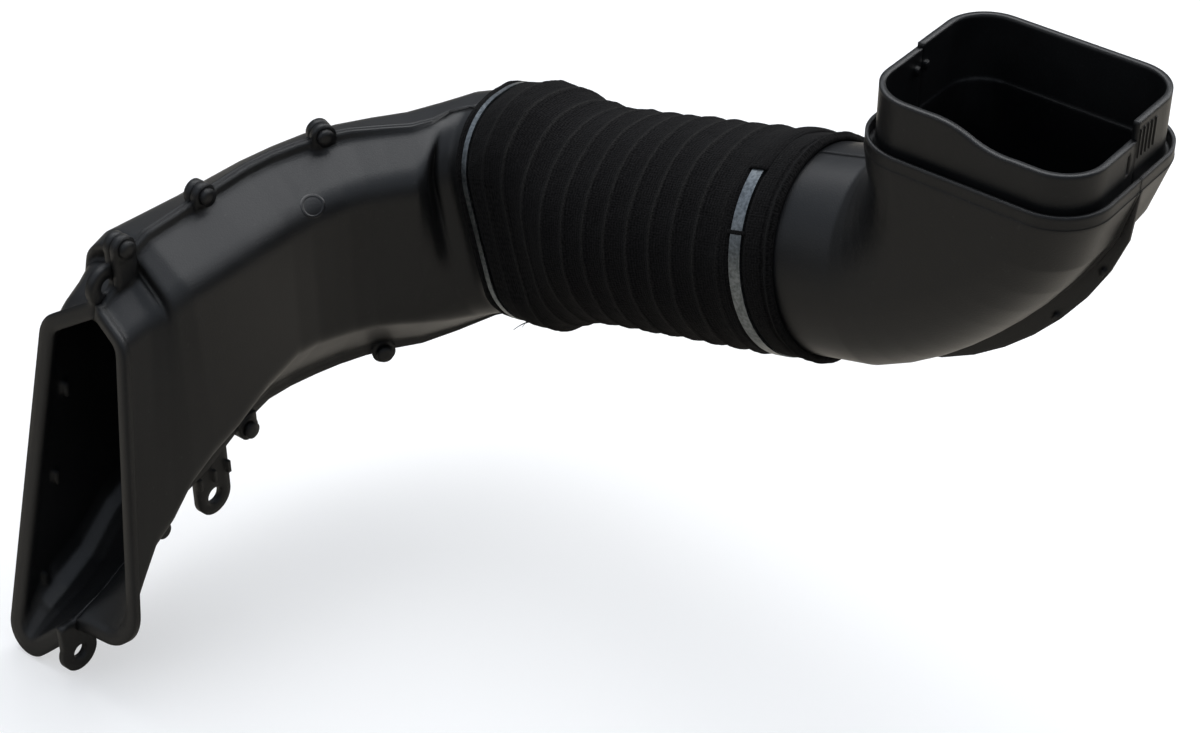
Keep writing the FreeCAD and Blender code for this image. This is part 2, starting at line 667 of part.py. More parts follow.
def rib_hooks():
    """Add the two small hooks on the face of the elbow's outer rib."""
    bend, flat_by, high = size("elbow_bend"), size("elbow_flat"), size("elbow_rib")
    corner = size("elbow_drop") - size("elbow_reach") * math.tan(TILT)
    tangent = bend * math.tan(math.radians((90 - size("hose_tilt")) / 2))
    centre = Vector(-bend, 0, tangent - corner)
    long_end = size("collar_long") / 2 + size("groove_width") + size("lip_wall")
    hooks = []
    for number, share in enumerate((0.55, 0.77), start=1):
        angle = math.radians(size("hose_tilt") + (90 - size("hose_tilt")) * share)
        radial = Vector(math.sin(angle), 0, -math.cos(angle))
        along = Vector(math.cos(angle), 0, math.sin(angle))
        tall = size("elbow_bore") + (long_end - size("elbow_bore")) * share
        wave = math.sin(math.pi * share)
        reach = bend + tall - flat_by * wave + high * wave ** 0.7 - 1.0
        base = centre + radial * reach - along * size("hook_size") / 2 - Vector(0, 1.4, 0)
        hooks.append(add_block("rib_hook_%d" % number, "Sizes.hook_size", "2.6", "1.6", base, along))
    return hooks


def collar_details(side):
    """Add what stands on one half of the collar and, for the front half, the slot to be cut."""
    half_long = size("collar_long") / 2
    inner = size("wall") - half_long
    level = size("collar_rise") * 0.55
    spot = 1.2 if side > 0 else -4.6
    hook = add_block("collar_hook_%s" % ("rear" if side > 0 else "front"), "2.4", "2.0", "Sizes.hook_size",
                     Vector(inner - 1.2, spot, level), Vector(1, 0, 0))
    if side < 0:
        slot = add_block("collar_slot", "12", "Sizes.slot_wide", "Sizes.slot_tall",
                         Vector(half_long - 6, -5.0, size("collar_rise") * 0.22), Vector(1, 0, 0))
        return [hook], [slot]
    grips = []
    for number in range(5):
        base = Vector(half_long - 0.6, 1.6 + number * size("grip_step"), size("collar_rise") * 0.38)
        grips.append(add_block("collar_grip_%d" % (number + 1), "1.1", "Sizes.grip_wall", "Sizes.grip_tall",
                               base, Vector(1, 0, 0)))
    return [hook] + grips, []


def collar_half():
    """Return the half section of the outlet collar's outside."""
    tall, wide, radius = size("collar_long") / 2, size("collar_short") / 2, size("collar_radius")
    return Half(tall, -tall, (wide, tall), (wide, -tall), (radius, radius), (0.05, 0.05), 0.5)


def elbow_shell(name, side):
    """Build one elbow half: wall, shoulder groove and half of the outlet collar."""
    skin = elbow_skin(name, side)
    out = Vector(0, side, 0)
    plane = Frame(UP * (size("lip_rise") - size("groove_depth")), out, Vector(1, 0, 0))
    collar = half_wire(plane, collar_half())
    wall = add_prism(name + "_collar", collar, UP, "Sizes.collar_rise + Sizes.groove_depth - Sizes.lip_rise")
    reach = size("groove_width") + size("lip_wall") - 0.2
    lip = half_wire(plane, collar_half(), grow=reach, wall=-size("groove_width"))
    edge = add_prism(name + "_lip", lip, UP, "Sizes.groove_depth")
    details, slots = collar_details(side)
    if side > 0:
        body = attach(name + "_body", skin, [wall, edge] + details + rib_hooks())
        body.Label = name + "_shell"
        return
    body = attach(name + "_body", skin, [wall, edge] + details)
    trim(name + "_shell", body, [scallop()] + slots)


def scallop():
    """Add the tool that cuts the S-shaped dip into the front rim of the collar."""
    rim = size("collar_rise")
    dip = size("collar_dip")
    far = size("collar_long")
    span = size("collar_long") * 0.2
    level = -size("collar_short")
    high, low = rim - 1.5, rim - dip
    middle = Vector(0, level, (high + low) / 2)
    bow = (high - low) * 0.12
    outline = [Part.LineSegment(Vector(-far, level, high), Vector(-span, level, high)).toShape()]
    outline.append(Part.Arc(Vector(-span, level, high),
                            Vector(-span / 2, level, middle.z * 0.35 + high * 0.65 + bow),
                            middle).toShape())
    outline.append(Part.Arc(middle, Vector(span / 2, level, middle.z * 0.35 + low * 0.65 - bow),
                            Vector(span, level, low)).toShape())
    corners = [Vector(span, level, low), Vector(far, level, low), Vector(far, level, rim + 5),
               Vector(-far, level, rim + 5), Vector(-far, level, high)]
    for first, second in zip(corners, corners[1:]):
        outline.append(Part.LineSegment(first, second).toShape())
    return add_prism("rim_scallop", Part.Wire(outline), Vector(0, 1, 0), "Sizes.collar_short + 1")


def sleeve_sizes(way):
    """Return the sleeve's height, width and corner radius outside at a way from the scoop-end band."""
    fit = 2 * (size("fit_gap") + size("sleeve_wall"))
    tall, wide, radius = size("oval_tall") + fit, size("oval_wide") + fit, size("oval_radius") + fit / 2
    bore = 2 * (size("elbow_bore") + 0.2) + fit
    share = (way - size("oval_reach") - 2) / size("oval_turn")
    share = min(1.0, max(0.0, share))
    share = share * share * (3 - 2 * share)
    return (tall + (bore - tall) * share, wide + (bore - wide) * share, radius + (bore / 2 - radius) * share)


def hose_sleeve():
    """Build the textile sleeve: a plain oval-to-round tube between its two cut ends."""
    first, last = -size("hem_length"), size("hose_span") + size("cuff_length")
    begin = size("oval_reach") + 2
    stops = [begin + size("oval_turn") * step / 4 for step in range(5)]
    skins = []
    for name, inset, reach in (("sleeve_outside", 0.0, 0.0), ("sleeve_inside", size("sleeve_wall"), 1.0)):
        wires = []
        for way in [first - reach] + stops + [last + reach]:
            tall, wide, radius = sleeve_sizes(way)
            centre = SCOOP_BAND + HOSE_WAY * way
            wires.append(ring_wire(centre, tall - 2 * inset, wide - 2 * inset, radius - inset))
        skins.append(add_loft(name, wires))
    trim("hose_sleeve", skins[0], skins[1:])


def hose_band(name, way, width):
    """Build one clamping strap of a named width round the sleeve."""
    tall, wide, radius = sleeve_sizes(way)
    start = SCOOP_BAND + HOSE_WAY * (way - size(width) / 2)
    gap, thick = 0.15, size("band_wall")
    inner = ring_wire(start - HOSE_WAY, tall + 2 * gap, wide + 2 * gap, radius + gap)
    reach = gap + thick
    outer = ring_wire(start, tall + 2 * reach, wide + 2 * reach, radius + reach)
    outside = add_prism(name + "_outside", outer, HOSE_WAY, "Sizes." + width)
    inside = add_prism(name + "_inside", inner, HOSE_WAY, "Sizes.%s + 2" % width)
    trim(name, outside, [inside])


def check_and_export(names):
    """Recompute, check every object and write one file for each node."""
    doc.recompute()
    for item in doc.Objects:
        if "Invalid" in item.State or "Error" in item.State:
            raise RuntimeError("%s did not build: %s" % (item.Name, item.State))
    os.makedirs("parts", exist_ok=True)
    for name in names:
        node = doc.getObjectsByLabel(name)[0]
        if node.Shape.isNull() or not node.Shape.isValid():
            raise RuntimeError("%s has a bad shape" % name)
        node.Shape.exportStep("parts/%s.step" % name)
        print(name, "solids", len(node.Shape.Solids), "volume", round(node.Shape.Volume))


scoop_front_shell()
scoop_rear_shell()
elbow_shell("elbow_front", -1)
elbow_shell("elbow_rear", 1)
hose_sleeve()
hose_band("scoop_end_band", 0.0, "thin_band")
hose_band("elbow_end_band", size("hose_span"), "band_width")
check_and_export(("scoop_front_shell", "scoop_rear_shell", "elbow_front_shell", "elbow_rear_shell",
                  "hose_sleeve", "scoop_end_band", "elbow_end_band"))
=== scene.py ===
"""Studio scene of an air intake hose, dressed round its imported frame. All sizes are in metres."""

import logging
import math
from dataclasses import dataclass
from enum import Enum

import bpy
from mathutils import Euler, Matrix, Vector, noise

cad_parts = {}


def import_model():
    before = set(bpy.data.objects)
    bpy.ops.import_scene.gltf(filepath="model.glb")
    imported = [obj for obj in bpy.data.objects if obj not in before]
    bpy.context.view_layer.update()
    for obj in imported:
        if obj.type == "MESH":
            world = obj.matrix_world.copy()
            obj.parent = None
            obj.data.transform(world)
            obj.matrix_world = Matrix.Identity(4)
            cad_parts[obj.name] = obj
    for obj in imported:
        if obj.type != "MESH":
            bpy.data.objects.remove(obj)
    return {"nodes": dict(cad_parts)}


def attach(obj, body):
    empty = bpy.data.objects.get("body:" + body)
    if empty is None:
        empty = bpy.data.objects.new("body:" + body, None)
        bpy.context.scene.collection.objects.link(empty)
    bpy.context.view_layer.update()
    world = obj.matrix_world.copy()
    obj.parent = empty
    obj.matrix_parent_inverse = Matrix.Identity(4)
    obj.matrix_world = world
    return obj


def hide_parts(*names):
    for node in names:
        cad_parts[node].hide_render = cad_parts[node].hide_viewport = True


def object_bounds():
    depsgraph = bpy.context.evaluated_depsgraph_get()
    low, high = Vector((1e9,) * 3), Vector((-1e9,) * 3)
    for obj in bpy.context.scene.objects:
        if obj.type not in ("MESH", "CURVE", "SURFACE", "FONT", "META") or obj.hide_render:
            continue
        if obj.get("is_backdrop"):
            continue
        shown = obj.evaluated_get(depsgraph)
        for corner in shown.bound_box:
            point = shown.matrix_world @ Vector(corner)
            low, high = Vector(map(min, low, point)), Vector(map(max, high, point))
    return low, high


LOG = logging.getLogger("intake_hose")
ROOT_BODY = "root"
Colour = tuple[float, float, float]
Place = tuple[float, float, float]


class Slot(Enum):
    """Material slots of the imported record."""

    PLASTIC = "duct_plastic"
    FABRIC = "sleeve_fabric"
    STEEL = "band_steel"


class Coordinates(Enum):
    """Texture coordinates that a finish may follow."""

    OBJECT = "Object"
    UV = "UV"


def eased(share: float) -> float:
    """Return a smooth step of a share.

    Args:
        share: Position between two ends, clamped to 0 and 1.

    Returns:
        The eased position, from 0 to 1.
    """
    share = min(1.0, max(0.0, share))
    return share * share * (3.0 - 2.0 * share)


def bell(distance: float, width: float) -> float:
    """Return the height of a bell curve.

    Args:
        distance: Distance from the middle of the bell.
        width: Half width at about a third of the height.

    Returns:
        The height, from 0 to 1.
    """
    return math.exp(-((distance / width) ** 2))


@dataclass(frozen=True)
class HoseLine:
    """The straight axis of the hose and the outline of the sleeve's outside at its two ends.

    Attributes:
        elbow_strap: Centre of the strap at the elbow.
        tilt: Rise of the axis towards the elbow, in degrees.
        span: Distance between the two straps.
        oval_tall: Height over the oval spigot.
        oval_wide: Width over the oval spigot.
        oval_radius: Corner radius over the oval spigot.
        bore: Diameter over the round spigot.
        oval_reach: Way at which the oval starts to turn round.
        oval_turn: Length in which it turns round.
    """

    elbow_strap: Place = (-0.084, 0.0, -0.0775)
    tilt: float = 15.0
    span: float = 0.137
    oval_tall: float = 0.0974
    oval_wide: float = 0.0634
    oval_radius: float = 0.0297
    bore: float = 0.0828
    oval_reach: float = 0.016
    oval_turn: float = 0.030

    def along(self) -> Vector:
        """Return the direction from the scoop to the elbow."""
        angle = math.radians(self.tilt)
        return Vector((math.cos(angle), 0.0, math.sin(angle)))

    def upward(self) -> Vector:
        """Return the direction across the axis that points up."""
        angle = math.radians(self.tilt)
        return Vector((-math.sin(angle), 0.0, math.cos(angle)))

    def centre(self, way: float) -> Vector:
        """Return the axis point at a way from the scoop's strap.

        Args:
            way: Distance along the axis, towards the elbow.

        Returns:
            The point on the axis.
        """
        return Vector(self.elbow_strap) + self.along() * (way - self.span)

    def outline(self, way: float, angle: float) -> tuple[float, float]:
        """Return a point of the sleeve's outline.

        Args:
            way: Distance along the axis from the scoop's strap.
            angle: Angle about the axis from the front, in radians.

        Returns:
            The distance to the front and the height above the axis.
        """
        share = eased((way - self.oval_reach) / self.oval_turn)
        tall = (self.oval_tall + (self.bore - self.oval_tall) * share) / 2.0
        wide = (self.oval_wide + (self.bore - self.oval_wide) * share) / 2.0
        radius = self.oval_radius + (self.bore / 2.0 - self.oval_radius) * share
        radius = min(radius, wide, tall)
        across, height = math.cos(angle), math.sin(angle)
        flat_across = math.copysign((wide - radius) * min(1.0, abs(across) * 4.0), across)
        flat_height = math.copysign((tall - radius) * min(1.0, abs(height) * 4.0), height)
        return flat_across + radius * across, flat_height + radius * height

    def place(self, way: float, angle: float, lift: float) -> Vector:
        """Return a point lifted off the sleeve's outline.

        Args:
            way: Distance along the axis from the scoop's strap.
            angle: Angle about the axis from the front, in radians.
            lift: Distance outwards from the outline.

        Returns:
            The point in the part's frame.
        """
        front, height = self.outline(way, angle)
        front += lift * math.cos(angle)
        height += lift * math.sin(angle)
        return self.centre(way) + Vector((0.0, -front, 0.0)) + self.upward() * height


class NodeBench:
    """Short helpers that wire up one node tree."""

    def __init__(self, tree: bpy.types.NodeTree) -> None:
        """Keep the tree.

        Args:
            tree: Node tree to add to.
        """
        self.tree = tree

    def add(self, kind: str, **values: object) -> bpy.types.Node:
        """Add a node and set its properties or input values.

        Args:
            kind: Type name of the node.
            **values: Properties of the node, or values of inputs named with underscores.

        Returns:
            The new node.
        """
        node = self.tree.nodes.new(kind)
        for name, value in values.items():
            if hasattr(node, name):
                setattr(node, name, value)
            else:
                node.inputs[name.replace("_", " ").title()].default_value = value
        return node

    def link(self, source: bpy.types.NodeSocket, target: bpy.types.NodeSocket) -> None:
        """Join an output to an input.

        Args:
            source: Output socket.
            target: Input socket.
        """
        self.tree.links.new(source, target)

    def fill(self, socket: bpy.types.NodeSocket, value: object) -> None:
        """Link a socket or set a value on an input.

        Args:
            socket: Input to fill.
            value: Output socket, number or colour.
        """
        if isinstance(value, bpy.types.NodeSocket):
            self.link(value, socket)
        elif isinstance(value, tuple):
            socket.default_value = (*value, 1.0)
        else:
            socket.default_value = value

    def math(self, operation: str, *values: object) -> bpy.types.NodeSocket:
        """Add an arithmetic node.

        Args:
            operation: Operation name of the node.
            *values: Sockets or numbers, in order.

        Returns:
            The result socket.
        """
        node = self.tree.nodes.new("ShaderNodeMath")
        node.operation = operation
        for socket, value in zip(node.inputs, values):
            self.fill(socket, value)
        return node.outputs[0]

    def ramp(self, factor: bpy.types.NodeSocket, low: float, high: float) -> bpy.types.NodeSocket:
        """Stretch a value so that two levels become 0 and 1.

        Args:
            factor: Socket with the value.
            low: Level that becomes 0.
            high: Level that becomes 1.

        Returns:
            The stretched value.
        """
        node = self.tree.nodes.new("ShaderNodeMapRange")
        node.interpolation_type = "SMOOTHSTEP"
        node.inputs["From Min"].default_value = low
        node.inputs["From Max"].default_value = high
        self.link(factor, node.inputs["Value"])
        return node.outputs["Result"]

    def blend(self, factor: bpy.types.NodeSocket, first: object, second: object) -> bpy.types.NodeSocket:
        """Mix two colours by a factor that varies over the surface.

        Args:
            factor: Socket with the share of the second colour.
            first: Colour socket or colour.
            second: Colour socket or colour.

        Returns:
            The mixed colour.
        """
        node = self.tree.nodes.new("ShaderNodeMix")
        node.data_type = "RGBA"
        self.link(factor, node.inputs["Factor"])
        self.fill(node.inputs[6], first)
        self.fill(node.inputs[7], second)
        return node.outputs[2]


class SurfaceWear:
    """Shader node group that gives grain, cloudy variation and sparse specks to several finishes."""

    NAME = "surface_wear"

    @classmethod
    def group(cls) -> bpy.types.NodeTree:
        """Find the node group, or make it on first use.

        Returns:
            The node group.
        """
        known = bpy.data.node_groups.get(cls.NAME)
        if known:
            return known
        tree = bpy.data.node_groups.new(cls.NAME, "ShaderNodeTree")
        tree.interface.new_socket("Vector", in_out="INPUT", socket_type="NodeSocketVector")
        for name in ("Grain Scale", "Cloud Scale"):
            tree.interface.new_socket(name, in_out="INPUT", socket_type="NodeSocketFloat")
        for name in ("Grain", "Cloud", "Specks"):
            tree.interface.new_socket(name, in_out="OUTPUT", socket_type="NodeSocketFloat")
        bench = NodeBench(tree)
        entry = bench.add("NodeGroupInput")
        leave = bench.add("NodeGroupOutput")
        grain = bench.add("ShaderNodeTexNoise", detail=3.0, roughness=0.6)
        cloud = bench.add("ShaderNodeTexNoise", detail=4.0, roughness=0.55)
        specks = bench.add("ShaderNodeTexNoise", detail=2.0, roughness=0.5)
        for node in (grain, cloud, specks):
            bench.link(entry.outputs["Vector"], node.inputs["Vector"])
        bench.link(entry.outputs["Grain Scale"], grain.inputs["Scale"])
        bench.link(entry.outputs["Cloud Scale"], cloud.inputs["Scale"])
        bench.link(bench.math("MULTIPLY", entry.outputs["Grain Scale"], 0.35), specks.inputs["Scale"])
        bench.link(grain.outputs["Fac"], leave.inputs["Grain"])
        bench.link(bench.ramp(cloud.outputs["Fac"], 0.35, 0.7), leave.inputs["Cloud"])
        bench.link(bench.ramp(specks.outputs["Fac"], 0.68, 0.76), leave.inputs["Specks"])
        return tree


@dataclass(frozen=True)
class Finish:
    """What every finish has: a name, its coordinates and the fineness of its wear.

    Attributes:
        name: Material name.
        coordinates: Texture coordinates that the pattern follows.
        grain_scale: Fineness of the grain, per metre.
        cloud_scale: Fineness of the cloudy variation, per metre.
    """

    name: str
    coordinates: Coordinates
    grain_scale: float
    cloud_scale: float

    def start(self) -> tuple[bpy.types.Material, NodeBench, bpy.types.Node]:
        """Make a material with its wear group.

        Returns:
            The material, its bench and the wear group node.
        """
        material = bpy.data.materials.new(self.name)
        material.use_nodes = True
        bench = NodeBench(material.node_tree)
        wear = bench.add("ShaderNodeGroup")
        wear.node_tree = SurfaceWear.group()
        wear.inputs["Grain Scale"].default_value = self.grain_scale
        wear.inputs["Cloud Scale"].default_value = self.cloud_scale
        bench.link(self.vector(bench), wear.inputs["Vector"])
        return material, bench, wear

    def vector(self, bench: NodeBench) -> bpy.types.NodeSocket:
        """Return the coordinate socket of this finish.

        Args:
            bench: Bench of the material.

        Returns:
            The socket.
        """
        return bench.add("ShaderNodeTexCoord").outputs[self.coordinates.value]

    @staticmethod
    def shader(material: bpy.types.Material) -> bpy.types.Node:
        """Return a material's surface shader.

        Args:
            material: Material made by start.

        Returns:
            The Principled node.
        """
        return material.node_tree.nodes["Principled BSDF"]

    @staticmethod
    def emboss(
        bench: NodeBench,
        shader: bpy.types.Node,
        height: bpy.types.NodeSocket,
        depth: float,
        soften: float = 0.0,
    ) -> None:
        """Turn a height into the shader's normal.

        Args:
            bench: Bench of the material.
            shader: Shader that gets the normal.
            height: Socket with the height.
            depth: Depth of the relief.
            soften: Radius to which sharp edges are shaded, or 0.
        """
        relief = bench.add("ShaderNodeBump", strength=0.6, distance=depth)
        bench.link(height, relief.inputs["Height"])
        if soften > 0.0:
            edges = bench.add("ShaderNodeBevel", samples=8, radius=soften)
            bench.link(edges.outputs["Normal"], relief.inputs["Normal"])
        bench.link(relief.outputs["Normal"], shader.inputs["Normal"])


@dataclass(frozen=True)
class DuctPlastic(Finish):
    """Satin black moulded plastic with a fine grain, faint flow marks and a moulded ring.

    Attributes:
        dark: Colour of most of the surface.
        pale: Colour of the cloudy patches.
        speck: Colour of sparse dust specks.
        ring_centre: Place of the moulded ring.
        ring_radius: Radius of the moulded ring.
        edge_radius: Radius to which moulded edges are shaded.
    """

    dark: Colour = (0.0042, 0.0044, 0.0050)
    pale: Colour = (0.0070, 0.0072, 0.0076)
    speck: Colour = (0.030, 0.030, 0.029)
    ring_centre: Place = (-0.2537, -0.0839, -0.0853)
    ring_radius: float = 0.0054
    edge_radius: float = 0.004

    def ring(self, bench: NodeBench) -> bpy.types.NodeSocket:
        """Return the mask of the moulded ring.

        Args:
            bench: Bench of the material.

        Returns:
            The mask, 1 on the ring.
        """
        gap = bench.add("ShaderNodeVectorMath", operation="DISTANCE")
        bench.link(self.vector(bench), gap.inputs[0])
        gap.inputs[1].default_value = self.ring_centre
        off = bench.math("ABSOLUTE", bench.math("SUBTRACT", gap.outputs["Value"], self.ring_radius))
        return bench.ramp(off, 0.0007, 0.0002)

    def build(self) -> bpy.types.Material:
        """Make the material.

        Returns:
            The material.
        """
        material, bench, wear = self.start()
        shader = self.shader(material)
        colour = bench.blend(wear.outputs["Cloud"], self.dark, self.pale)
        dust = bench.math("MULTIPLY", wear.outputs["Specks"], 0.3)
        bench.link(bench.blend(dust, colour, self.speck), shader.inputs["Base Color"])
        shine = bench.math("MULTIPLY_ADD", wear.outputs["Cloud"], 0.08, 0.34)
        bench.link(shine, shader.inputs["Roughness"])
        height = bench.math("MULTIPLY_ADD", self.ring(bench), 3.0, wear.outputs["Grain"])
        self.emboss(bench, shader, height, 0.0001, self.edge_radius)
        shader.inputs["Specular IOR Level"].default_value = 0.40
        return material


@dataclass(frozen=True)
class SleeveFabric(Finish):
    """Matte black woven textile with a painted highlight, a little paler, along its wire ridges.

    Attributes:
        dark: Colour between the threads.
        thread: Colour of the threads.
        painted_crest_highlight: Colour of the painted highlight along the wire ridges.
        thread_pitch: Distance between two threads.
    """

    dark: Colour = (0.0008, 0.0008, 0.0009)
    thread: Colour = (0.0094, 0.0088, 0.0090)
    painted_crest_highlight: Colour = (0.024, 0.023, 0.0215)
    thread_pitch: float = 0.0012

    def weave(self, bench: NodeBench) -> bpy.types.NodeSocket:
        """Return the height of the woven threads.

        Args:
            bench: Bench of the material.

        Returns:
            The height, from 0 to 1.
        """
        vector = self.vector(bench)
        heights = []
        for direction, share in (("X", 0.8), ("Y", 1.0)):
            wave = bench.add("ShaderNodeTexWave", wave_type="BANDS", bands_direction=direction)
            wave.inputs["Scale"].default_value = math.pi / 10.0 / (self.thread_pitch * share)
            wave.inputs["Distortion"].default_value = 2.5
            wave.inputs["Detail Scale"].default_value = 1.6
            bench.link(vector, wave.inputs["Vector"])
            heights.append(wave.outputs["Fac"])
        return bench.math("MULTIPLY_ADD", heights[0], 0.45, bench.math("MULTIPLY", heights[1], 0.55))

    def build(self) -> bpy.types.Material:
        """Make the material.

        Returns:
            The material.
        """
        material, bench, wear = self.start()
        shader = self.shader(material)
        fuzz = bench.ramp(wear.outputs["Grain"], 0.32, 0.68)
        height = bench.math("MULTIPLY_ADD", self.weave(bench), 0.5, bench.math("MULTIPLY", fuzz, 0.6))
        colour = bench.blend(bench.ramp(height, 0.15, 1.0), self.dark, self.thread)
        # Painted highlight: the wire ridges are painted paler, in a line speckled by the fuzz.
        ridge = bench.add("ShaderNodeAttribute", attribute_name="ridge")
        crest_highlight_share = bench.math("MULTIPLY_ADD", fuzz, 0.6, 0.2)
        crest_highlight_share = bench.math("MULTIPLY", ridge.outputs["Fac"], crest_highlight_share)
        bench.link(bench.blend(crest_highlight_share, colour, self.painted_crest_highlight), shader.inputs["Base Color"])
        self.emboss(bench, shader, height, 0.0005)
        shader.inputs["Roughness"].default_value = 0.95
        shader.inputs["Specular IOR Level"].default_value = 0.08
        shader.inputs["Sheen Weight"].default_value = 0.015
        shader.inputs["Sheen Roughness"].default_value = 0.6
        return material


@dataclass(frozen=True)
class BandSteel(Finish):
    """Grey steel strap with fine streaks.

    Attributes:
        dark: Colour of the dull streaks.
        bright: Colour of the bright streaks.
    """

    dark: Colour = (0.14, 0.155, 0.165)
    bright: Colour = (0.28, 0.305, 0.32)

    def build(self) -> bpy.types.Material:
        """Make the material.

        Returns:
            The material.
        """
        material, bench, wear = self.start()
        shader = self.shader(material)
        streaks = bench.ramp(wear.outputs["Grain"], 0.3, 0.7)
        bench.link(bench.blend(streaks, self.dark, self.bright), shader.inputs["Base Color"])
        shine = bench.math("MULTIPLY_ADD", wear.outputs["Cloud"], 0.15, 0.30)
        bench.link(shine, shader.inputs["Roughness"])
        self.emboss(bench, shader, wear.outputs["Grain"], 0.00005)
        shader.inputs["Metallic"].default_value = 1.0
        return material


def make_mesh(
    name: str, rows: list[list[Vector]], closed_rows: bool, closed_columns: bool
) -> bpy.types.Object:
    """Make a smooth mesh object from rows of points joined into a grid of faces, open ends capped.

    Args:
        name: Name of the object.
        rows: Rows with the same number of points each.
        closed_rows: Whether the last point of a row joins its first.
        closed_columns: Whether the last row joins the first.

    Returns:
        The object, linked into the scene.
    """
    width = len(rows[0])
    points = [tuple(point) for row in rows for point in row]
    faces = []
    for row in range(len(rows) if closed_columns else len(rows) - 1):
        here, following = row * width, (row + 1) % len(rows) * width
        for column in range(width if closed_rows else width - 1):
            beside = (column + 1) % width
            faces.append((here + column, here + beside, following + beside, following + column))
    final = (len(rows) - 1) * width
    if closed_columns and not closed_rows:
        faces.append(tuple(range(0, final + 1, width)))
        faces.append(tuple(range(final + width - 1, width - 2, -width)))
    if closed_rows and not closed_columns:
        faces.append(tuple(range(width - 1, -1, -1)))
        faces.append(tuple(range(final, final + width)))
    mesh = bpy.data.meshes.new(name)
    mesh.from_pydata(points, [], faces)
    mesh.validate()
    mesh.shade_smooth()
    piece = bpy.data.objects.new(name, mesh)
    bpy.context.scene.collection.objects.link(piece)
    return piece


def flat_coordinates(piece: bpy.types.Object, columns: int, closed: bool, sizes: tuple[float, float]) -> None:
    """Give a grid mesh flat coordinates in metres, so that its weave keeps one size.

    Args:
        piece: Object made by make_mesh.
        columns: Points in each of its rows.
        closed: Whether its rows are closed.
        sizes: Distance between two columns and between two rows.
    """
    layer = piece.data.uv_layers.new(name="cloth")
    loops = piece.data.loops
    for polygon in piece.data.polygons:
        corners = [loops[index].vertex_index for index in polygon.loop_indices]
        wraps = closed and max(corner % columns for corner in corners) == columns - 1
        for index, corner in zip(polygon.loop_indices, corners):
            row, column = divmod(corner, columns)
            if wraps and column == 0:
                column = columns
            layer.data[index].uv = (column * sizes[0], row * sizes[1])


class TextilePiece:
    """What every textile piece shares."""

    def dress(self, piece: bpy.types.Object, material: bpy.types.Material) -> None:
        """Finish a textile piece and fix it to the part.

        Args:
            piece: Textile piece.
            material: Textile material.
        """
        piece.data.materials.append(material)
        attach(piece, ROOT_BODY)


